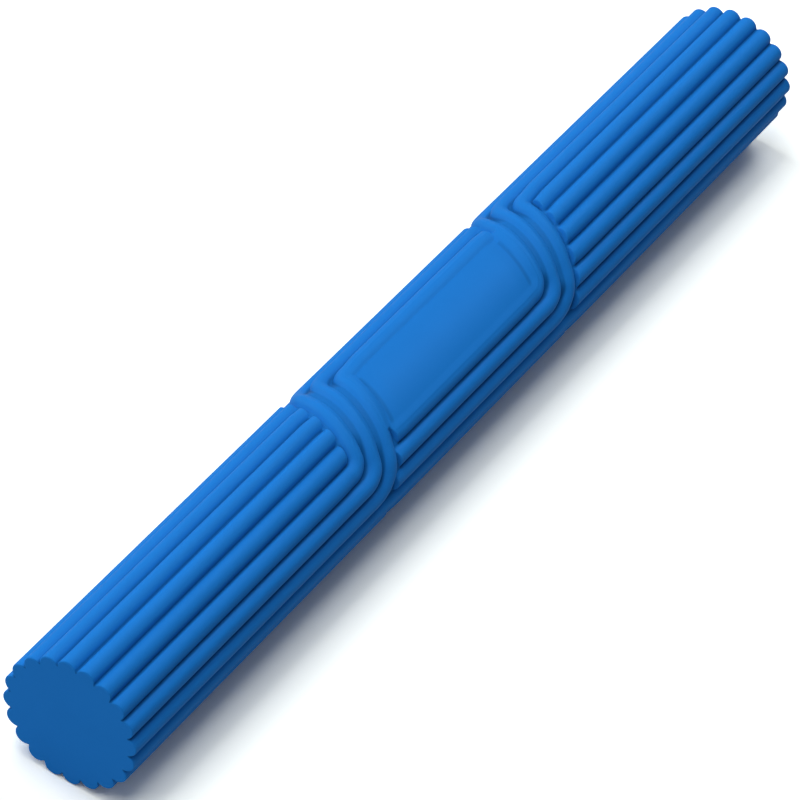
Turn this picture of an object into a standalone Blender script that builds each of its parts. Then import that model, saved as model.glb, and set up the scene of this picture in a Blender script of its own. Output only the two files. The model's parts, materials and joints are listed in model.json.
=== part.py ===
# Flexible resistance bar: one solid rubber moulding with twenty ribs and a bare label panel on two sides.
# It lies along X with its middle at the origin and rests on two ribs, with a panel on top, leaning to -Y.
# The moulding is cut across into slices, so that it can bend about Y and twist about X.
# At each bend the slices' faces lean away from the pivot, and a soft web fills the space between them.

import math

import bmesh
import bpy
import numpy as np

# Sizes of the moulding, in metres.
BAR_LENGTH = 0.305
CREST_RADIUS = 0.01775
GROOVE_DEPTH = 0.0017
PANEL_DEPTH = 0.00075
RIB_BACK_RADIUS = 0.00245
SHOULDER_WIDTH = 0.0034
BAND_OFFSET = 0.0416
BAND_SPACING = 0.0054
CORNER_RADIUS = 0.0045
CORNER_GROWTH = 0.0032
BAND_DIP = 0.0005
PANEL_INSET = 0.0015

# Counts and angles of the rib pattern. The ribs come in pairs, half a turn apart.
RIB_COUNT = 20
CROSSING_RIBS = 3
CROSSING_STEPS = 6
FIRST_CROSSING_RIB = 1
BAND_SLANT = math.radians(20.5)

# The slices that the moulding is cut into, from the near end to the far end, and the cuts between them.
SLICE_RUNS = (("near_grip", 9), ("near_band", 3), ("panel_section", 5), ("far_band", 3), ("far_grip", 9))
BEND_RANGE = math.radians(12.8)
BEND_CLEARANCE = math.radians(0.6)
TOUCH_GAP = 0.0003
PIVOT_GAP = 0.0016

# Fineness of the faces.
FINE_COLUMNS_A_RIB = 8
FINE_ROW = 0.0008
FINE_SHARE = 0.13
SKIN_MARGIN = 0.001
CORNER_STEPS = 6
MERGE_DISTANCE = 0.00005
ON_PLANE = 0.000001
SHARP_ANGLE = math.radians(35.0)

# The blue rubber.
RUBBER_COLOUR = (0.012, 0.150, 0.560, 1.0)
RUBBER_ROUGHNESS = 0.55

# Worked out from the sizes above.
GROOVE_RADIUS = CREST_RADIUS - GROOVE_DEPTH
PANEL_RADIUS = CREST_RADIUS - PANEL_DEPTH
RIB_PITCH = 2 * math.pi / RIB_COUNT
ARC_PITCH = RIB_PITCH * CREST_RADIUS
HALF_TURN = math.pi * CREST_RADIUS
SLICE_COUNT = sum(count for run, count in SLICE_RUNS)
SLICES_A_SIDE = SLICE_COUNT // 2
SLICE_LENGTH = BAR_LENGTH / SLICE_COUNT
RELIEF_SLOPE = math.tan((BEND_RANGE + BEND_CLEARANCE) / 2)
BAND_TILT = math.tan(BAND_SLANT)
PANEL_ARC = (FIRST_CROSSING_RIB + CROSSING_RIBS / 2 + CROSSING_STEPS / 2) * ARC_PITCH
PANEL_HALF_ARC = (CROSSING_STEPS - CROSSING_RIBS + 1) / 2 * ARC_PITCH
BAND_STEP = BAND_SPACING / math.cos(BAND_SLANT)
PANEL_HALF_RUN = BAND_OFFSET - (CROSSING_RIBS - 1) / 2 * BAND_STEP


# Arc length round the crests from the groove on +Y to a rib, counting the ribs from 0.
def rib_arc(number):
    return (number + 0.5) * ARC_PITCH


# The points of a path with its corners rounded: each corner's arc has its own radius.
def rounded_path(points, radii):
    path = [points[0]]
    for before, corner, after, radius in zip(points, points[1:], points[2:], radii):
        back = (before - corner) / np.linalg.norm(before - corner)
        onward = (after - corner) / np.linalg.norm(after - corner)
        half_angle = math.acos(np.dot(back, onward)) / 2
        middle = (back + onward) / np.linalg.norm(back + onward)
        centre = corner + middle * radius / math.sin(half_angle)
        start = corner + back * radius / math.tan(half_angle) - centre
        end = corner + onward * radius / math.tan(half_angle) - centre
        sweep = math.pi - 2 * half_angle
        for step in range(CORNER_STEPS + 1):
            turned = sweep * step / CORNER_STEPS
            weights = math.sin(sweep - turned), math.sin(turned)
            path.append(centre + (start * weights[0] + end * weights[1]) / math.sin(sweep))
    path.append(points[-1])
    return np.array(path)


# Least distance from each point to a path, on the surface rolled out flat.
def distance_to_path(points, path):
    starts, runs = path[:-1], path[1:] - path[:-1]
    offsets = points[:, None, :] - starts
    along = (offsets * runs).sum(axis=2) / (runs * runs).sum(axis=1)
    nearest = starts + np.clip(along, 0, 1)[..., None] * runs
    return np.linalg.norm(points[:, None, :] - nearest, axis=2).min(axis=1)


# The pattern seen from the bar's other end: half a turn about the middle of the panel.
def turned_about_panel(path):
    return np.array((0, 2 * PANEL_ARC)) - path


# The crossing ribs of the near band, without the stretch that ends at the far band.
# The outer a rib is at a corner, the wider it turns.
def near_crossing_ribs():
    ribs = []
    for number in range(CROSSING_RIBS):
        grip_arc = rib_arc(FIRST_CROSSING_RIB + CROSSING_STEPS + number)
        centre_arc = rib_arc(FIRST_CROSSING_RIB + number)
        station = -BAND_OFFSET + (number - (CROSSING_RIBS - 1) / 2) * BAND_STEP
        points = [np.array((-BAR_LENGTH, grip_arc)),
                  np.array((station - (grip_arc - PANEL_ARC) * BAND_TILT, grip_arc)),
                  np.array((station - (centre_arc - PANEL_ARC) * BAND_TILT, centre_arc)),
                  np.array((BAR_LENGTH, centre_arc))]
        outer_steps = CROSSING_RIBS - 1 - number
        radii = [CORNER_RADIUS + number * CORNER_GROWTH, CORNER_RADIUS + outer_steps * CORNER_GROWTH]
        ribs.append(rounded_path(points, radii))
    return ribs


# A straight rib from beyond the near end up to one rib spacing short of the rib that it meets.
def rib_up_to(arc, obstacle):
    stations = np.arange(-BAR_LENGTH / 2, BAR_LENGTH / 2, TOUCH_GAP)
    points = np.column_stack((stations, np.full(len(stations), arc)))
    blocked = distance_to_path(points, obstacle) < BAND_SPACING
    stop = stations[blocked.argmax() - 1]
    return np.array(((-BAR_LENGTH, arc), (stop, arc)))


# The middle line of every rib on one half of the way round, as points of station and arc length.
def rib_lines():
    near = near_crossing_ribs()
    first_of_far_band = turned_about_panel(near[-1])
    lines = [np.array(((-BAR_LENGTH, rib_arc(0)), (BAR_LENGTH, rib_arc(0))))]
    for path in near:
        run_on = rib_up_to(path[-1][1], first_of_far_band)
        whole = np.vstack((path[:-1], run_on[1:]))
        lines += [whole, turned_about_panel(whole)]
    for number in range(CROSSING_STEPS):
        grip_rib = rib_up_to(rib_arc(FIRST_CROSSING_RIB + number), near[0])
        lines += [grip_rib, turned_about_panel(grip_rib)]
    return lines


RIB_LINES = rib_lines()
BAND_REACH = -BAND_OFFSET - min(path[1][0] for path in near_crossing_ribs())


# Radius of the surface at a distance from a rib's middle line: a round back down to the groove.
def rib_radius(distance):
    angle = distance / CREST_RADIUS
    back_centre = CREST_RADIUS - RIB_BACK_RADIUS
    height = np.maximum(RIB_BACK_RADIUS ** 2 - (back_centre * np.sin(angle)) ** 2, 0)
    return np.maximum(back_centre * np.cos(angle) + np.sqrt(height), GROOVE_RADIUS)


# A share that is 1 up to the start of a fade, falls smoothly over its width, and is 0 beyond it.
def fade(distance, start, width):
    share = np.clip((distance - start) / width, 0, 1)
    return 1 - share * share * (3 - 2 * share)


# Radius of the moulding at each station and angle: the nearest rib, or the panel where it is higher.
# Both bands lie a little lower than the grips, which therefore carry the bar on a flat surface.
def surface_radius(stations, angles):
    arcs = (angles * CREST_RADIUS) % HALF_TURN
    distance = np.full(len(stations), HALF_TURN)
    for shift in (-HALF_TURN, 0, HALF_TURN):
        points = np.column_stack((stations, arcs + shift))
        for line in RIB_LINES:
            distance = np.minimum(distance, distance_to_path(points, line))
    across = np.abs(arcs - PANEL_ARC)
    along = np.abs(stations + (arcs - PANEL_ARC) * BAND_TILT)
    in_band = fade(np.abs(along - BAND_OFFSET), CROSSING_RIBS / 2 * BAND_STEP, BAND_STEP)
    in_band *= fade(across, PANEL_HALF_ARC, ARC_PITCH)
    radius = np.maximum(rib_radius(distance) - BAND_DIP * in_band, GROOVE_RADIUS)
    on_panel = across < PANEL_HALF_ARC - PANEL_INSET
    on_panel &= (PANEL_HALF_RUN - along) * math.cos(BAND_SLANT) > PANEL_INSET
    return np.where(on_panel, np.maximum(radius, PANEL_RADIUS), radius)


# Angles of the skin's columns: groove, shoulder, crest and shoulder of each rib, or evenly spaced ones.
def column_angles(fine):
    if fine:
        count = RIB_COUNT * FINE_COLUMNS_A_RIB
        return np.arange(count + 1) * 2 * math.pi / count
    shoulder = SHOULDER_WIDTH / 2 / CREST_RADIUS
    steps = np.array((0, RIB_PITCH / 2 - shoulder, RIB_PITCH / 2, RIB_PITCH / 2 + shoulder))
    angles = np.arange(RIB_COUNT)[:, None] * RIB_PITCH + steps
    return np.append(angles.ravel(), 2 * math.pi)


# An open ribbed tube between two stations: a grid wrapped round the bar's axis.
def ribbed_skin(first, last, fine):
    angles = column_angles(fine)
    rows = max(1, round((last - first) / FINE_ROW)) if fine else 1
    skin = bmesh.new()
    bmesh.ops.create_grid(skin, x_segments=rows, y_segments=len(angles) - 1, size=0.5)
    flat = np.array([vertex.co for vertex in skin.verts]) + 0.5
    stations = first + flat[:, 0] * (last - first)
    turned = angles[np.rint(flat[:, 1] * (len(angles) - 1)).astype(int)]
    radii = surface_radius(stations, turned)
    for vertex, station, angle, radius in zip(skin.verts, stations, turned, radii):
        vertex.co = (station, radius * math.cos(angle), radius * math.sin(angle))
    bmesh.ops.remove_doubles(skin, verts=skin.verts, dist=MERGE_DISTANCE)
    return skin


# The same skin with fewer and longer faces, which follow the ribs.
def thinned(skin):
    mesh = bpy.data.meshes.new("thinned")
    skin.to_mesh(mesh)
    skin.free()
    whole = bpy.data.objects.new("thinned", mesh)
    bpy.context.scene.collection.objects.link(whole)
    fewer = whole.modifiers.new("fewer faces", "DECIMATE")
    fewer.ratio = FINE_SHARE
    evaluated = whole.evaluated_get(bpy.context.evaluated_depsgraph_get())
    skin = bmesh.new()
    skin.from_mesh(evaluated.to_mesh())
    evaluated.to_mesh_clear()
    bpy.data.objects.remove(whole)
    bpy.data.meshes.remove(mesh)
    return skin


# Cuts the skin off at station + slope * |z|, keeping the side towards keep, and closes it there.
def close_end(skin, station, slope, keep):
    for half in (1, -1):
        faces = [face for face in skin.faces if (face.calc_center_median().z >= 0) == (half > 0)]
        edges = {edge for face in faces for edge in face.edges}
        corners = {vertex for face in faces for vertex in face.verts}
        bmesh.ops.bisect_plane(skin, geom=[*faces, *edges, *corners], dist=ON_PLANE,
                               plane_co=(station, 0, 0), plane_no=(1, 0, -slope * half))

    def beyond(point):
        return (point.x - station - slope * abs(point.z)) * keep

    waste = [face for face in skin.faces if beyond(face.calc_center_median()) < 0]
    bmesh.ops.delete(skin, geom=waste, context="FACES")
    bmesh.ops.remove_doubles(skin, verts=skin.verts, dist=MERGE_DISTANCE)
    rim = [edge for edge in skin.edges if edge.is_boundary
           and abs(beyond((edge.verts[0].co + edge.verts[1].co) / 2)) < MERGE_DISTANCE]
    if slope == 0:
        bmesh.ops.contextual_create(skin, geom=rim)
        return
    level = [vertex for vertex in {corner for edge in rim for corner in edge.verts}
             if abs(vertex.co.z) < MERGE_DISTANCE / 2]
    ridge = skin.edges.new(level)
    for half in (1, -1):
        upper = [edge for edge in rim if (edge.verts[0].co.z + edge.verts[1].co.z) * half > 0]
        bmesh.ops.contextual_create(skin, geom=[*upper, ridge])


# A closed piece of the moulding between two end faces, each given as its station and slope.
def moulding_piece(near_face, far_face):
    first = near_face[0] + min(near_face[1], 0) * CREST_RADIUS - SKIN_MARGIN
    last = far_face[0] + max(far_face[1], 0) * CREST_RADIUS + SKIN_MARGIN
    distance = abs(abs(first + last) / 2 - BAND_OFFSET)
    fine = distance < BAND_REACH + (last - first) / 2
    skin = ribbed_skin(first, last, fine)
    if fine:
        skin = thinned(skin)
    bmesh.ops.bisect_plane(skin, geom=[*skin.faces, *skin.edges, *skin.verts], dist=ON_PLANE,
                           plane_co=(0, 0, 0), plane_no=(0, 0, 1))
    close_end(skin, *near_face, keep=1)
    close_end(skin, *far_face, keep=-1)
    bmesh.ops.recalc_face_normals(skin, faces=skin.faces)
    return skin


# Blue rubber, satin and matt, one material for each piece.
def rubber(name):
    material = bpy.data.materials.new(name + " rubber")
    material.use_nodes = True
    shader = material.node_tree.nodes["Principled BSDF"]
    shader.inputs["Base Color"].default_value = RUBBER_COLOUR
    shader.inputs["Roughness"].default_value = RUBBER_ROUGHNESS
    shader.inputs["Metallic"].default_value = 0.0
    return material


# Makes the object of a piece, with its origin on the axis at its own joint.
def add_piece(name, skin, joint_station, collection, parent):
    bmesh.ops.translate(skin, verts=skin.verts, vec=(-joint_station, 0, 0))
    mesh = bpy.data.meshes.new(name)
    skin.to_mesh(mesh)
    skin.free()
    mesh.shade_smooth()
    mesh.set_sharp_from_angle(angle=SHARP_ANGLE)
    mesh.materials.append(rubber(name))
    piece = bpy.data.objects.new(name, mesh)
    collection.objects.link(piece)
    piece["joint_station"] = joint_station
    if parent:
        piece.parent = parent
        piece.location.x = joint_station - parent["joint_station"]
    return piece


# The bar bends at every other cut, counted outwards from the middle slice, and twists at the rest.
def bends(cut_number):
    return cut_number % 2 == 1


# Station and slope of a slice's face at a cut: side is 1 on the far side of the cut and -1 on the near side.
def slice_face(cut_number, side):
    if abs(cut_number) > SLICES_A_SIDE:
        return math.copysign(BAR_LENGTH / 2, cut_number), 0
    station = math.copysign(abs(cut_number) - 0.5, cut_number) * SLICE_LENGTH
    if bends(abs(cut_number)):
        return station + side * PIVOT_GAP / 2, side * RELIEF_SLOPE
    return station + side * TOUCH_GAP / 2, 0


# Names of the slices from the near end to the far end.
def slice_names():
    return [f"{run}_{number}" for run, count in SLICE_RUNS for number in range(1, count + 1)]


# The soft web that fills a bend's space, a touch gap clear of the slices on both sides.
def web_piece(station):
    clearance = TOUCH_GAP * math.hypot(1, RELIEF_SLOPE)
    half_width = PIVOT_GAP / 2 - clearance
    return moulding_piece((station - half_width, -RELIEF_SLOPE), (station + half_width, RELIEF_SLOPE))


def build_bar():
    for old in list(bpy.data.objects):
        bpy.data.objects.remove(old)
    collection = bpy.data.collections.new("flexible_resistance_bar")
    bpy.context.scene.collection.children.link(collection)
    names = slice_names()
    middle = moulding_piece(slice_face(-1, 1), slice_face(1, -1))
    centre = add_piece(names[SLICES_A_SIDE], middle, 0.0, collection, None)
    for side in (-1, 1):
        parent = centre
        webs = 0
        for number in range(1, SLICES_A_SIDE + 1):
            station = side * (number - 0.5) * SLICE_LENGTH
            inner = slice_face(side * number, side)
            outer = slice_face(side * (number + 1), -side)
            skin = moulding_piece(*sorted((inner, outer)))
            if bends(number):
                webs += 1
                web_name = f"{'near' if side < 0 else 'far'}_flex_web_{webs}"
                add_piece(web_name, web_piece(station), station, collection, parent)
            parent = add_piece(names[SLICES_A_SIDE + side * number], skin, station, collection, parent)


build_bar()
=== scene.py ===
import json
import math

import bpy
import numpy as np
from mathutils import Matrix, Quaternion, Vector

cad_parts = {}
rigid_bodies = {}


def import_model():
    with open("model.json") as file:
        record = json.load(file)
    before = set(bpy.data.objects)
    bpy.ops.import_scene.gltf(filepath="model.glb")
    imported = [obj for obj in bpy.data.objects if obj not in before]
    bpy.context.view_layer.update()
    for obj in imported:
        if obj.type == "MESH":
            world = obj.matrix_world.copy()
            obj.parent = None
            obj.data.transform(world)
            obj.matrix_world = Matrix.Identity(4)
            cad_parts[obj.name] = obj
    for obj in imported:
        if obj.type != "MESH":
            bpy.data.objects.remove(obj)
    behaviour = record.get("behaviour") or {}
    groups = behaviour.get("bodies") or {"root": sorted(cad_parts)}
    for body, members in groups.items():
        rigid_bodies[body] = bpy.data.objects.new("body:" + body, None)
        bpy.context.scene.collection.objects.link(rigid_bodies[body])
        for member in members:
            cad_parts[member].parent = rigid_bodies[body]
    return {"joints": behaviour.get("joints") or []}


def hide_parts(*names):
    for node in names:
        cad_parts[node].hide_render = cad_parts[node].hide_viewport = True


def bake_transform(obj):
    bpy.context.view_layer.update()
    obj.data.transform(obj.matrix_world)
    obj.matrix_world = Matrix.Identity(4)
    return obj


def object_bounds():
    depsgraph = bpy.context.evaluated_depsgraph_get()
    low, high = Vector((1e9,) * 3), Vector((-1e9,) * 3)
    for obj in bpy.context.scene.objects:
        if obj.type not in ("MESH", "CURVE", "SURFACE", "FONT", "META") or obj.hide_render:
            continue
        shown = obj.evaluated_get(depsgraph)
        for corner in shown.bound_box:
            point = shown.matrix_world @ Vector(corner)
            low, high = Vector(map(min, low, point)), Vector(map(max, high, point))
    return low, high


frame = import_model()

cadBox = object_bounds()

# The moulding, in metres. Arcs are measured round the rib crests, from the groove on +Y.
barShape = {
    "length": 0.305,
    "crestRadius": 0.01775,
    "grooveRadius": 0.01605,
    "ribBackRadius": 0.00245,
    "ribCount": 20,
    "outsideDrop": 0.0006,  # away from its back a rib counts as this far below the groove floor
    "goneAt": 3,  # a blunt rib is surely gone this many half pitches past its end
    "valleyRound": 0.00045,  # how softly two ribs meet
    "edgeRound": 0.00035,  # round of the end faces' rims
    "rimRows": 6,
    "faceRings": (0.96, 0.7, 0.35),  # smaller rings in an end face, as shares of its outline
    "faceSlack": 1e-7,
    "columnsPerRib": 24,
    "straightRow": 0.0007,  # step between rows where only straight ribs pass
    "bandRow": 0.00016,  # and where slanting ribs pass
    "bandReach": 0.0195,  # run of the close rows, each way from a band's middle
}

# The slanting ribs of both bands, and the ribs that end beside them.
bandShape = {
    "offset": 0.0416,  # of a band's middle from the bar's, along the panel's middle line
    "spacing": 0.0054,  # between slanting ribs, square to them
    "slant": 20.5,  # degrees from square to the bar
    "ribs": 3,
    "steps": 6,  # pitches that a slanting rib moves round the bar
    "firstRib": 1,  # number of the first centre rib that comes out of a band
    "tightCorner": 0.0045,  # radius of the tightest corner of a slanting rib's path
    "cornerGrowth": 0.0021,  # added for each rib further out
    "cornerSteps": 14,
    "dip": 0.0005,  # the bands lie this much lower than the grips
    "floorRise": 0.0009,  # shallower grooves half way along the slanting ribs
    "floorAcross": (0.85, 0.35),  # flat half width and fade of that rise, in ribs' spacings
    "floorToGrip": (0.0060, 0.0090),  # the same along a groove, towards the grip
    "floorToCentre": (0.0105, 0.0070),
    "slim": 0.22,  # the slanting ribs are this much narrower there
    "valleyRound": 0.0006,
    "paintedShadeMore": 0.6,  # and the painted shade in the grooves is this much stronger there
    "gapRise": 0.0004,  # shallower gaps between the slanting ribs and the ends of the others
    "gapAt": 1.55,  # in ribs' spacings from the band's middle
    "gapAcross": (0.15, 0.15),  # flat half width and fade, in ribs' spacings
    "gapAlong": (0.011, 0.003),
    "endGap": 0.0031,  # from the middle of a slanting rib to a grip rib's blunt end
    "endRun": 0.0004,  # run over which a blunt end falls away
    "endSquareness": 3.5,
    "starts": (0.0418, 0.0392, 0.0368),  # stations where the centre ribs are cut off square
    "startRun": 0.0004,
    "startSquareness": 5,
}

# The smooth panels, each between two frame ribs.
panelShape = {
    "leastRadius": 0.01662,
    "leastAt": 0.2,  # share of the way from the first frame rib to the other
    "otherRise": 0.00095,  # from there up to the other frame rib, nearly level with it
    "flankWiden": 1.5,  # the frame ribs are this much wider towards the panel
    "flankFoot": 0.0002,  # how softly the panel runs into them
    "flankEarly": 0.001,  # the wide flank fades out this much before a frame rib's start
    "flankEnd": 0.0012,  # over this run
    "flankAway": 0.004,  # by moving this far off
    "pocketEarly": 0.0002,
    "pocketRun": 0.0004,
    "pocketWidth": 0.0017,  # the panel ends this much earlier beside a frame rib's start
    "frameFillet": 0.0003,
    "edgeStart": 0.0001,  # the panel sets in this far inside a frame rib's middle
    "edgeSoft": 0.0006,
    "paintedShadeLineAt": 0.0037,  # painted shade: a soft dark line in the colour, not the shape, inside the slanting frame ribs, from their middle
    "paintedShadeLineWidth": 0.0030,
    "paintedShadeLineDepth": 0.76,  # least value of the depth mask there
    "paintedShadeLineFrom": (0.1, 0.15),  # where it starts and how softly, as shares of the panel's width
    "paintedShadeLineUntil": (0.85, 0.2),
}


def ribArc(number):
    # arc of a rib's crest = (number + 1/2) * pitch
    return (number + 0.5) * arcPitch


arcPitch = 2 * math.pi * barShape["crestRadius"] / barShape["ribCount"]
halfTurn = math.pi * barShape["crestRadius"]
halfLength = barShape["length"] / 2
ribDepth = barShape["crestRadius"] - barShape["grooveRadius"]
slantTilt = math.tan(math.radians(bandShape["slant"]))
slantStep = bandShape["spacing"] / math.cos(math.radians(bandShape["slant"]))
frameStart = bandShape["starts"][-1]
panelArc = (bandShape["firstRib"] + bandShape["ribs"] / 2 + bandShape["steps"] / 2) * arcPitch
panelHalfArc = (bandShape["steps"] - bandShape["ribs"] + 1) / 2 * arcPitch
panelHalfRun = bandShape["offset"] - (bandShape["ribs"] - 1) / 2 * slantStep


def slantingPath(number):
    # straight at the grip arc, slanted through the band, straight at the centre arc;
    # each corner is an arc that touches both straights
    gripArc = ribArc(bandShape["firstRib"] + bandShape["steps"] + number)
    centreArc = ribArc(bandShape["firstRib"] + number)
    station = -bandShape["offset"] + (number - (bandShape["ribs"] - 1) / 2) * slantStep
    corners = np.array([(-2 * halfLength, gripArc),
                        (station - (gripArc - panelArc) * slantTilt, gripArc),
                        (station - (centreArc - panelArc) * slantTilt, centreArc),
                        (2 * halfLength, centreArc)])
    outer = bandShape["ribs"] - 1 - number
    radii = [bandShape["tightCorner"] + number * bandShape["cornerGrowth"],
             bandShape["tightCorner"] + outer * bandShape["cornerGrowth"]]
    path = [corners[0]]
    for before, corner, after, radius in zip(corners, corners[1:], corners[2:], radii):
        back = (before - corner) / np.linalg.norm(before - corner)
        onward = (after - corner) / np.linalg.norm(after - corner)
        halfAngle = math.acos(back @ onward) / 2
        middle = (back + onward) / np.linalg.norm(back + onward)
        centre = corner + middle * radius / math.sin(halfAngle)
        start = corner + back * radius / math.tan(halfAngle) - centre
        end = corner + onward * radius / math.tan(halfAngle) - centre
        sweep = math.pi - 2 * halfAngle
        turned = np.linspace(0, sweep, bandShape["cornerSteps"] + 1)[:, None]
        arc = (start * np.sin(sweep - turned) + end * np.sin(turned)) / math.sin(sweep)
        path.extend(centre + arc)
    path.append(corners[-1])
    return np.array(path)


def signedDistances(stations, arcs, path):
    # least distance to the path's segments, plus on its left and minus on its right
    nearest, side = np.full(stations.shape, np.inf), np.ones(stations.shape)
    for start, end in zip(path, path[1:]):
        run = end - start
        alongX, alongArc = stations - start[0], arcs - start[1]
        share = np.clip((alongX * run[0] + alongArc * run[1]) / (run @ run), 0, 1)
        distance = np.hypot(alongX - share * run[0], alongArc - share * run[1])
        side = np.where(distance < nearest, np.sign(run[0] * alongArc - run[1] * alongX), side)
        nearest = np.minimum(nearest, distance)
    return nearest * side


def wrapped(arcs, target):
    # arc distance to a straight rib, the short way round the half pattern
    return (arcs - target + halfTurn / 2) % halfTurn - halfTurn / 2


def ribHeight(distance):
    # round back of a rib: c cos(a) + sqrt(b^2 - (c sin a)^2), a = distance / crest radius
    angle = np.abs(distance) / barShape["crestRadius"]
    centre = barShape["crestRadius"] - barShape["ribBackRadius"]
    square = barShape["ribBackRadius"] ** 2 - (centre * np.sin(angle)) ** 2
    flank = centre * np.cos(angle) + np.sqrt(np.maximum(square, 0))
    return np.where(square > 0, flank, barShape["grooveRadius"] - barShape["outsideDrop"])


def softMax(first, second, width):
    # max(a, b) + w h^2 / 4, where h = 1 - |a - b| / w and is never below 0
    overlap = np.maximum(1 - np.abs(first - second) / width, 0)
    return np.maximum(first, second) + width * overlap ** 2 / 4


def fade(value, start, width):
    # 1 before start, 0 after start + width, 1 - t^2 (3 - 2t) between
    share = np.clip((value - start) / width, 0, 1)
    return 1 - share * share * (3 - 2 * share)


def endedRib(across, inside, run, power):
    # a rib with a blunt end: its height at the distance (u^p + v^p)^(1/p) * half a pitch,
    # u = how far across, v = how near the end
    sideways = np.abs(across) / (arcPitch / 2)
    nearEnd = np.clip(1 - inside / run, 0, barShape["goneAt"])
    return ribHeight((sideways ** power + nearEnd ** power) ** (1 / power) * arcPitch / 2)


def bandMasks(stations, across, alongAxis):
    # products of fades: 1 in a band; 1 half way along its grooves; 1 in the gaps beside it
    fromMiddle = bandShape["offset"] - np.abs(alongAxis)
    alongSlant = -np.sign(stations) * across - fromMiddle / slantStep * arcPitch
    inBand = fade(np.abs(fromMiddle), bandShape["ribs"] / 2 * slantStep, slantStep)
    inBand = inBand * fade(np.abs(across), panelHalfArc, arcPitch)
    midBand = fade(np.abs(fromMiddle), *(share * slantStep for share in bandShape["floorAcross"]))
    for towards, reach in ((1, bandShape["floorToGrip"]), (-1, bandShape["floorToCentre"])):
        midBand = midBand * fade(towards * alongSlant, *reach)
    fromGap = np.abs(np.abs(fromMiddle) / slantStep - bandShape["gapAt"])
    gap = fade(fromGap, *bandShape["gapAcross"])
    gap = gap * fade(np.abs(alongSlant), *bandShape["gapAlong"])
    return inBand, midBand, gap


def ribHeights(stations, arcs, across, slanting, midBand):
    # the straight through rib, then each band's slanting ribs and the blunt ribs beside them
    ribs = [ribHeight(wrapped(arcs, ribArc(0)))]
    for turn, distances in zip((1, -1), slanting):
        for distance, start in zip(distances, bandShape["starts"]):
            slimmed = distance * (1 + bandShape["slim"] * midBand)
            ribs.append(endedRib(slimmed, start - turn * stations,
                                 bandShape["startRun"], bandShape["startSquareness"]))
        fromFirst = turn * (stations + across * slantTilt) + bandShape["offset"] + slantStep
        untilBand = -fromFirst * bandShape["spacing"] / slantStep - bandShape["endGap"]
        for number in range(bandShape["steps"]):
            straight = panelArc + turn * across - ribArc(bandShape["firstRib"] + number)
            ribs.append(endedRib(straight, untilBand,
                                 bandShape["endRun"], bandShape["endSquareness"]))
    return ribs


def pastStarts(stations, start, run):
    # 0 before a frame rib's start and 1 after it, for the near and the far frame rib
    return [1 - fade(turn * stations, start, run) for turn in (1, -1)]


def panelLevel(stations, lean, frameRibs):
    # least radius + rise * s^2, s from the lowest place to the other frame rib,
    # joined softly to the widened flanks of both frame ribs
    share = np.clip((lean - panelShape["leastAt"]) / (1 - panelShape["leastAt"]), 0, 1)
    level = panelShape["leastRadius"] + panelShape["otherRise"] * share ** 2
    past = pastStarts(stations, frameStart - panelShape["flankEarly"], panelShape["flankEnd"])
    near, far = (rib + panelShape["flankAway"] * gone for rib, gone in zip(frameRibs, past))
    flank = ribHeight(np.minimum(near, far) / panelShape["flankWiden"])
    return softMax(level, flank, panelShape["flankFoot"])


def surface(stations, angles):
    # radius = soft maximum of the groove floor, all ribs and the panel, less the bands' dip;
    # depth mask = (crest - that maximum) / groove depth, stronger half way along the bands'
    # grooves and never below the painted dark line's own value; it paints shade into the colour.
    # The far band is the near one turned half a turn about the panel's middle.
    arcs = angles * barShape["crestRadius"]
    across = wrapped(arcs, panelArc)
    paths = [slantingPath(number) for number in range(bandShape["ribs"])]
    slanting = [[signedDistances(turn * stations, panelArc + turn * across, path) for path in paths]
                for turn in (1, -1)]
    alongAxis = stations + across * slantTilt
    inBand, midBand, gap = bandMasks(stations, across, alongAxis)
    rise = np.maximum(bandShape["floorRise"] * midBand, bandShape["gapRise"] * gap)
    height = barShape["grooveRadius"] + rise
    moreRound = bandShape["valleyRound"] - barShape["valleyRound"]
    for rib in ribHeights(stations, arcs, across, slanting, midBand):
        height = softMax(height, rib, barShape["valleyRound"] + moreRound * midBand)
    frameRibs = [distances[-1] for distances in slanting]
    past = pastStarts(stations, frameStart - panelShape["pocketEarly"], panelShape["pocketRun"])
    near, far = (rib - panelShape["pocketWidth"] * gone for rib, gone in zip(frameRibs, past))
    onPanel = 1 - fade(np.minimum(near, far), panelShape["edgeStart"], panelShape["edgeSoft"])
    lean = across / panelHalfArc / 2 + 0.5
    aboveFloor = panelLevel(stations, lean, frameRibs) - barShape["grooveRadius"]
    panel = barShape["grooveRadius"] + aboveFloor * onPanel
    height = np.where(onPanel > 0, softMax(height, panel, panelShape["frameFillet"]), height)
    # painted shade: this mask darkens the rubber's colour in the grooves, more half way along the
    # bands' grooves
    paintedShade = np.clip((barShape["crestRadius"] - height) / ribDepth, 0, 1)
    # painted shade: a soft dark line in the colour inside the slanting frame ribs
    fromFrame = (panelHalfRun - np.abs(alongAxis)) * math.cos(math.radians(bandShape["slant"]))
    paintedShadeLine = fade(np.abs(fromFrame - panelShape["paintedShadeLineAt"]), 0, panelShape["paintedShadeLineWidth"])
    paintedShadeLine = paintedShadeLine * (1 - fade(lean, *panelShape["paintedShadeLineFrom"]))
    paintedShadeLine = paintedShadeLine * fade(lean, *panelShape["paintedShadeLineUntil"])
    paintedShade = paintedShade * (1 + bandShape["paintedShadeMore"] * midBand)
    paintedShade = np.clip(np.maximum(paintedShade, panelShape["paintedShadeLineDepth"] * paintedShadeLine), 0, 1)
    return height - bandShape["dip"] * inBand, paintedShade


def rowStations(start, end):
    # evenly spaced stations, closer together where a band's ribs pass
    middle, halfRun = abs(start + end) / 2, abs(end - start) / 2
    inReach = abs(middle - bandShape["offset"]) < barShape["bandReach"] + halfRun
    step = barShape["bandRow"] if inReach else barShape["straightRow"]
    return np.linspace(start, end, max(2, math.ceil(2 * halfRun / step)) + 1)


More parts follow.
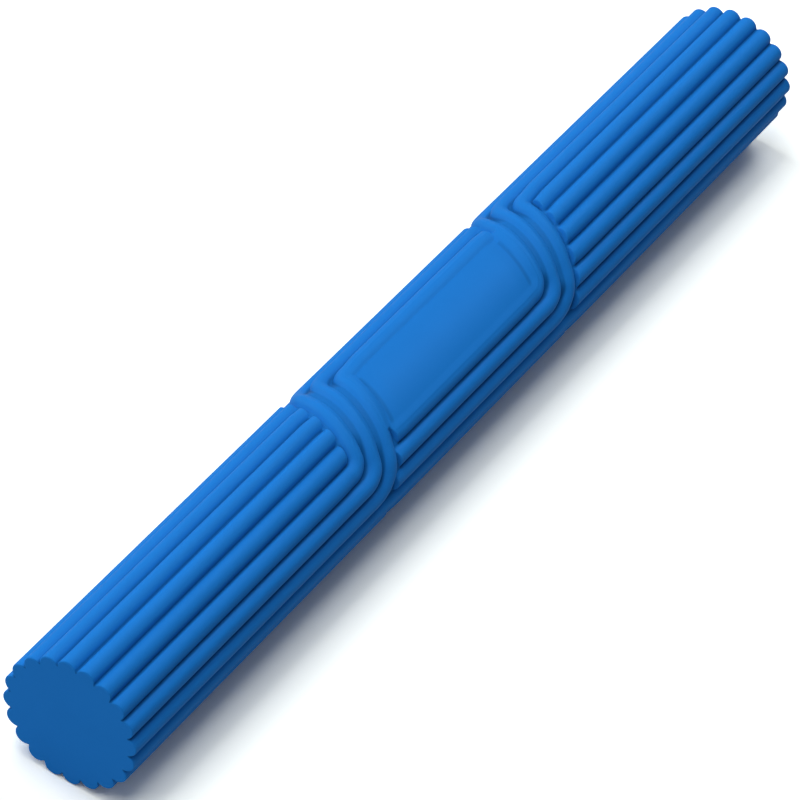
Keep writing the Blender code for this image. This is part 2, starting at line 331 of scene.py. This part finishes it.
def pieceRows(inner, outer, hasFace):
    # stations from one cut to the next, and how far each ring is drawn in;
    # an end face's rim is a quarter circle
    if not hasFace:
        stations = rowStations(inner, outer)
        return stations, np.zeros(len(stations))
    side, rim = np.sign(outer), barShape["edgeRound"]
    sweep = np.linspace(0, math.pi / 2, barShape["rimRows"] + 1)[1:]
    stations = rowStations(inner, side * (halfLength - rim))
    inset = np.concatenate((np.zeros(len(stations)), rim * (1 - np.cos(sweep))))
    rimStations = side * (halfLength - rim + rim * np.sin(sweep))
    return np.concatenate((stations, rimStations)), inset


def withFaceRings(faceSide, stations, radii, paintedShade):
    # the end ring scaled by each share, in the end face's own plane and with no painted shade
    last = 0 if faceSide < 0 else -1
    shares = np.array(barShape["faceRings"])[:, None]
    rings = radii[last] * shares
    added = (np.full(len(shares), stations[last]), rings, np.zeros(rings.shape))
    both = zip((stations, radii, paintedShade), added)
    if faceSide < 0:
        return [np.concatenate((extra[::-1], own)) for own, extra in both]
    return [np.concatenate((own, extra)) for own, extra in both]


def ringFaces(rows, columns):
    # quads between neighbouring rings, then a fan over each end round its centre point;
    # all faces' corner numbers in a row, and where each face starts in it
    row, column = np.meshgrid(np.arange(rows - 1), np.arange(columns), indexing="ij")
    following = (column + 1) % columns
    low, high = row * columns, (row + 1) * columns
    quads = np.stack((low + column, low + following, high + following, high + column), axis=-1)
    ring, after = column[0], following[0]
    centre, lastRing = np.full(columns, rows * columns), (rows - 1) * columns
    firstFan = np.stack((centre, after, ring), axis=-1)
    lastFan = np.stack((centre + 1, lastRing + ring, lastRing + after), axis=-1)
    corners = np.concatenate((quads.ravel(), firstFan.ravel(), lastFan.ravel()))
    starts = np.concatenate((np.arange(0, quads.size, 4), np.arange(quads.size, len(corners), 3)))
    return corners, starts


def pieceMesh(name, stations, radii, paintedShade, faceSide):
    # ring i, column j at (x_i, r_ij cos a_j, r_ij sin a_j); the edges round a cut are sharp,
    # and faceSide is -1 or 1 on the piece that holds that end's face, else 0
    if faceSide:
        stations, radii, paintedShade = withFaceRings(faceSide, stations, radii, paintedShade)
    rows, columns = radii.shape
    angles = np.arange(columns) * 2 * math.pi / columns
    points = np.empty((rows, columns, 3))
    points[..., 0] = stations[:, None]
    points[..., 1] = radii * np.cos(angles)
    points[..., 2] = radii * np.sin(angles)
    points = np.vstack((points.reshape(-1, 3), (stations[0], 0, 0), (stations[-1], 0, 0)))
    corners, starts = ringFaces(rows, columns)
    mesh = bpy.data.meshes.new(name)
    mesh.vertices.add(len(points))
    mesh.vertices.foreach_set("co", points.astype(np.float32).ravel())
    mesh.loops.add(len(corners))
    mesh.loops.foreach_set("vertex_index", corners.astype(np.int32))
    mesh.polygons.add(len(starts))
    mesh.polygons.foreach_set("loop_start", starts.astype(np.int32))
    mesh.update(calc_edges=True)
    leastReach = np.minimum.reduceat(np.abs(points[corners, 0]), starts)
    onFace = leastReach > halfLength - barShape["faceSlack"]
    mesh.polygons.foreach_set("material_index", onFace.astype(np.int32))
    edgeEnds = np.empty(len(mesh.edges) * 2, np.int32)
    mesh.edges.foreach_get("vertices", edgeEnds)
    cutRows = [row for row, side in ((0, -1), (rows - 1, 1)) if side != faceSide]
    sharp = np.isin(edgeEnds.reshape(-1, 2) // columns, cutRows).all(axis=1)
    mesh.attributes.new("sharp_edge", "BOOLEAN", "EDGE").data.foreach_set("value", sharp)
    # painted shade mask per point, which darkens the rubber's colour in the grooves
    depth = mesh.attributes.new("paintedShade", "FLOAT", "POINT")
    depth.data.foreach_set("value", np.append(paintedShade.ravel(), (0, 0)).astype(np.float32))
    rest = mesh.attributes.new("restPlace", "FLOAT_VECTOR", "POINT")
    rest.data.foreach_set("vector", points.astype(np.float32).ravel())
    mesh.validate()
    return mesh


# The rubber. Its colour turns to a darker blue, painted shade in the grooves, between two values of
# the depth mask, which is 0 on the crests and 1 on the groove floors.
rubberLook = {
    "blue": (0.0124, 0.191, 0.623, 1.0),
    "deepBlue": (0.0114, 0.179, 0.588, 1.0),
    # painted shade: the darker blue that the grooves' colour turns to
    "paintedShadeBlue": (0.0050, 0.098, 0.330, 1.0),
    "paintedShadeFrom": 0.55,
    "paintedShadeBy": 1.0,
    "gloss": 0.028,
    "roughness": 0.48,
    "faceRoughness": 0.60,
    "mottleScale": 90,
    "mottleDetail": 3,
    "grainSize": 0.00035,
    "grainDetail": 2,
    "grainHeight": 0.000006,
}


def addSocket(tree, name, direction, kind, value=None):
    # a named input or output of a node group, with its value where it has one
    socket = tree.interface.new_socket(name, in_out=direction, socket_type=kind)
    if value is not None:
        socket.default_value = value


def readAttribute(tree, name):
    # outputs of a node that reads one of the mesh's attributes
    node = tree.nodes.new("ShaderNodeAttribute")
    node.attribute_name = name
    return node.outputs


def addNoise(tree, place, scale, detail):
    # noise at a place times a scale
    noise = tree.nodes.new("ShaderNodeTexNoise")
    noise.inputs["Detail"].default_value = detail
    tree.links.new(place, noise.inputs["Vector"])
    tree.links.new(scale, noise.inputs["Scale"])
    return noise.outputs["Fac"]


def mixColours(tree, factor, first, second):
    # first * (1 - factor) + second * factor
    mix = tree.nodes.new("ShaderNodeMix")
    mix.data_type = "RGBA"
    tree.links.new(factor, mix.inputs["Factor"])
    tree.links.new(first, mix.inputs["A"])
    tree.links.new(second, mix.inputs["B"])
    return mix.outputs["Result"]


def smoothShare(tree, value, start, end):
    # 0 at start, 1 at end, t^2 (3 - 2t) between
    share = tree.nodes.new("ShaderNodeMapRange")
    share.interpolation_type = "SMOOTHSTEP"
    share.inputs["From Min"].default_value = start
    share.inputs["From Max"].default_value = end
    tree.links.new(value, share.inputs["Value"])
    return share.outputs["Result"]


def combined(tree, operation, first, second):
    # two values joined by one operation
    node = tree.nodes.new("ShaderNodeMath")
    node.operation = operation
    for value, socket in zip((first, second), node.inputs):
        if isinstance(value, (int, float)):
            socket.default_value = value
        else:
            tree.links.new(value, socket)
    return node.outputs["Value"]


def mouldedSurfaceGroup():
    # colour = mix(blue, deep blue, noise), then mixed to the painted shade blue by the depth mask;
    # grain = fine noise with one wave per grain size
    tree = bpy.data.node_groups.new("mouldedSurface", "ShaderNodeTree")
    for name, key in (("Blue", "blue"), ("Deep Blue", "deepBlue"), ("Painted Shade Blue", "paintedShadeBlue")):
        addSocket(tree, name, "INPUT", "NodeSocketColor", rubberLook[key])
    for name, key in (("Mottle Scale", "mottleScale"), ("Grain Size", "grainSize")):
        addSocket(tree, name, "INPUT", "NodeSocketFloat", rubberLook[key])
    addSocket(tree, "Colour", "OUTPUT", "NodeSocketColor")
    addSocket(tree, "Grain", "OUTPUT", "NodeSocketFloat")
    inputs = tree.nodes.new("NodeGroupInput").outputs
    outputs = tree.nodes.new("NodeGroupOutput").inputs
    place = readAttribute(tree, "restPlace")["Vector"]
    mottle = addNoise(tree, place, inputs["Mottle Scale"], rubberLook["mottleDetail"])
    blues = mixColours(tree, mottle, inputs["Blue"], inputs["Deep Blue"])
    # painted shade: the colour turns darker with the depth mask
    shade = smoothShare(tree, readAttribute(tree, "paintedShade")["Fac"],
                        rubberLook["paintedShadeFrom"], rubberLook["paintedShadeBy"])
    whole = mixColours(tree, shade, blues, inputs["Painted Shade Blue"])
    tree.links.new(whole, outputs["Colour"])
    perMetre = combined(tree, "DIVIDE", 1, inputs["Grain Size"])
    grain = addNoise(tree, place, perMetre, rubberLook["grainDetail"])
    tree.links.new(grain, outputs["Grain"])
    return tree


def rubberMaterial(name, group, roughness):
    # the shared surface on a dull shader, with its grain as a bump
    material = bpy.data.materials.new(name)
    material.use_nodes = True
    nodes, links = material.node_tree.nodes, material.node_tree.links
    shader = nodes["Principled BSDF"]
    surfaceNode = nodes.new("ShaderNodeGroup")
    surfaceNode.node_tree = group
    links.new(surfaceNode.outputs["Colour"], shader.inputs["Base Color"])
    shader.inputs["Roughness"].default_value = roughness
    shader.inputs["Specular IOR Level"].default_value = rubberLook["gloss"]
    bump = nodes.new("ShaderNodeBump")
    bump.inputs["Distance"].default_value = rubberLook["grainHeight"]
    links.new(surfaceNode.outputs["Grain"], bump.inputs["Height"])
    links.new(bump.outputs["Normal"], shader.inputs["Normal"])
    return material


def pieceJoints():
    # every joint as station, name, inner body and outer body, in order along the bar
    return sorted((joint["pos_m"][0], joint["name"], joint["parent"], joint["child"])
                  for joint in frame["joints"])


def replacedNodes(name, parent, child, besideMiddle):
    # the outer slice, a bending joint's own web, and the middle slice for the pieces beside it
    side, kind, number = name.split("_")
    webs = [f"{side}_flex_web_{number}"] if kind == "bend" else []
    return [child, *webs] + ([parent] if besideMiddle else [])


def buildMoulding():
    # one continuous skin, cut at the middle of every slice into one piece a joint
    group = mouldedSurfaceGroup()
    skin = rubberMaterial("mouldedRubber", group, rubberLook["roughness"])
    face = rubberMaterial("endFaceRubber", group, rubberLook["faceRoughness"])
    columns = barShape["ribCount"] * barShape["columnsPerRib"]
    halfAngles = np.arange(columns // 2) * 2 * math.pi / columns
    joints = pieceJoints()
    sliceLength = barShape["length"] / (len(joints) + 1)
    for station, name, parent, child in joints:
        side = 1 if station > 0 else -1
        inner = station - side * sliceLength / 2
        outer = station + side * sliceLength / 2
        hasFace = halfLength - abs(outer) < sliceLength
        stations, inset = pieceRows(inner, outer, hasFace)
        if side < 0:
            stations, inset = stations[::-1], inset[::-1]
        half = surface(*np.meshgrid(stations, halfAngles, indexing="ij"))
        radii, paintedShade = (np.hstack((values, values)) for values in half)
        mesh = pieceMesh("moulding_" + name, stations, radii - inset[:, None], paintedShade,
                         side if hasFace else 0)
        mesh.materials.append(skin)
        mesh.materials.append(face)
        piece = bpy.data.objects.new("moulding_" + name, mesh)
        bpy.context.scene.collection.objects.link(piece)
        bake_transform(piece)
        nodes = replacedNodes(name, parent, child, abs(station) < sliceLength)
        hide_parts(*nodes)
    print("moulding made:", len(joints), "pieces")


# The camera stands where the photo was taken from, with a long lens.
photoCamera = {
    "place": (-0.881753, -0.397992, 0.847572),
    "target": (-0.007157, 0.001961, -0.006313),
    "roll": 10.59608,  # degrees
    "lens": 241.2921,  # millimetres, on a sensor this wide
    "sensor": 36,
}


def addCamera():
    # looks from its place to its target, then rolls about its own line of sight
    data = bpy.data.cameras.new("photoCamera")
    data.sensor_width = photoCamera["sensor"]
    data.lens = photoCamera["lens"]
    camera = bpy.data.objects.new("photoCamera", data)
    camera.location = photoCamera["place"]
    sight = Vector(photoCamera["target"]) - Vector(photoCamera["place"])
    camera.rotation_mode = "QUATERNION"
    roll = Quaternion((0, 0, 1), math.radians(photoCamera["roll"]))
    camera.rotation_quaternion = sight.to_track_quat("-Z", "Y") @ roll
    bpy.context.scene.collection.objects.link(camera)
    bpy.context.scene.camera = camera
    print("camera placed")


# Soft square lamps: name, azimuth from +X, elevation, width and power.
studio = {
    "lamps": (("overhead", 90, 70, 0.8, 13.7),
              ("lowBack", 90, 20, 0.8, 10.7),
              ("nearOverhead", 180, 70, 0.8, 6.8),
              ("farOverhead", 0, 70, 0.8, 2.0),
              ("farSide", 0, 45, 0.8, 8.8),
              ("nearBack", 150, 45, 0.8, 5.6),
              ("farBack", 30, 45, 0.8, 1.7),
              ("wideRight", 45, 25, 2.2, 2.9),
              ("nearEnd", 180, 14, 0.8, 3.1)),
    "lampDistance": 2.0,
    "worldLight": 0.142,
    "floorReach": 4,  # from the bar's middle to the floor's sides
    "floorColour": (0.60, 0.60, 0.60, 1.0),
    "floorSeen": (1.31, 1.36, 1.32, 1.0),  # to the camera, white outside the shadow
    "whiteFrom": 0.30,  # metres from the bar's middle where the floor starts to turn plain white
    "whiteBy": 0.60,
    "endWhiteFrom": 0.150,  # and the same beyond the near end, measured along the bar
    "endWhiteBy": 0.172,
}


def lampPlace(azimuth, elevation):
    # distance * (cos e cos a, cos e sin a, sin e)
    a, e = math.radians(azimuth), math.radians(elevation)
    direction = Vector((math.cos(e) * math.cos(a), math.cos(e) * math.sin(a), math.sin(e)))
    return studio["lampDistance"] * direction


def floorMaterial():
    # a matt floor that the camera alone sees brighter, fading to plain white far from the bar
    # and beyond its near end
    material = bpy.data.materials.new("paleFloor")
    material.use_nodes = True
    tree = material.node_tree
    nodes, links = tree.nodes, tree.links
    shader, output = nodes["Principled BSDF"], nodes["Material Output"]
    shader.inputs["Roughness"].default_value = 1.0
    shader.inputs["Specular IOR Level"].default_value = 0.0
    toCamera = nodes.new("ShaderNodeLightPath").outputs["Is Camera Ray"]
    tone = nodes.new("ShaderNodeMix")
    tone.data_type = "RGBA"
    tone.clamp_result = False
    tone.inputs["A"].default_value = studio["floorColour"]
    tone.inputs["B"].default_value = studio["floorSeen"]
    links.new(toCamera, tone.inputs["Factor"])
    links.new(tone.outputs["Result"], shader.inputs["Base Color"])
    place = nodes.new("ShaderNodeTexCoord").outputs["Object"]
    reach = nodes.new("ShaderNodeVectorMath")
    reach.operation = "LENGTH"
    links.new(place, reach.inputs[0])
    alongBar = nodes.new("ShaderNodeSeparateXYZ")
    links.new(place, alongBar.inputs["Vector"])
    far = smoothShare(tree, reach.outputs["Value"], studio["whiteFrom"], studio["whiteBy"])
    beyond = smoothShare(tree, alongBar.outputs["X"],
                         -studio["endWhiteFrom"], -studio["endWhiteBy"])
    share = combined(tree, "MULTIPLY", combined(tree, "MAXIMUM", far, beyond), toCamera)
    white = nodes.new("ShaderNodeEmission")
    blend = nodes.new("ShaderNodeMixShader")
    links.new(share, blend.inputs["Fac"])
    links.new(shader.outputs["BSDF"], blend.inputs[1])
    links.new(white.outputs["Emission"], blend.inputs[2])
    links.new(blend.outputs["Shader"], output.inputs["Surface"])
    return material


def addFloor():
    # a square at the height of the bar's lowest ribs
    level, reach = cadBox[0][2], studio["floorReach"]
    mesh = bpy.data.meshes.new("floor")
    corners = [(reach * x, reach * y, level) for x, y in ((-1, -1), (1, -1), (1, 1), (-1, 1))]
    mesh.from_pydata(corners, [], [(0, 1, 2, 3)])
    mesh.materials.append(floorMaterial())
    floor = bpy.data.objects.new("floor", mesh)
    bpy.context.scene.collection.objects.link(floor)


def addWorld():
    # white to the camera and dim as a light
    world = bpy.data.worlds.new("studioWorld")
    world.use_nodes = True
    nodes, links = world.node_tree.nodes, world.node_tree.links
    nodes["Background"].inputs["Color"].default_value = (1, 1, 1, 1)
    rays = nodes.new("ShaderNodeLightPath")
    strength = nodes.new("ShaderNodeMapRange")
    strength.inputs["To Min"].default_value = studio["worldLight"]
    strength.inputs["To Max"].default_value = 1.0
    links.new(rays.outputs["Is Camera Ray"], strength.inputs["Value"])
    links.new(strength.outputs["Result"], nodes["Background"].inputs["Strength"])
    bpy.context.scene.world = world


def addLamps():
    # every lamp at its place on the sphere, facing the bar's middle
    for name, azimuth, elevation, width, power in studio["lamps"]:
        data = bpy.data.lights.new(name, "AREA")
        data.size = width
        data.energy = power
        lamp = bpy.data.objects.new(name, data)
        lamp.location = lampPlace(azimuth, elevation)
        lamp.rotation_mode = "QUATERNION"
        lamp.rotation_quaternion = (-lamp.location).to_track_quat("-Z", "Y")
        bpy.context.scene.collection.objects.link(lamp)
    print("studio made:", len(studio["lamps"]), "lamps")


buildMoulding()
addCamera()
addFloor()
addWorld()
addLamps()
bpy.context.scene.view_settings.view_transform = "Standard"
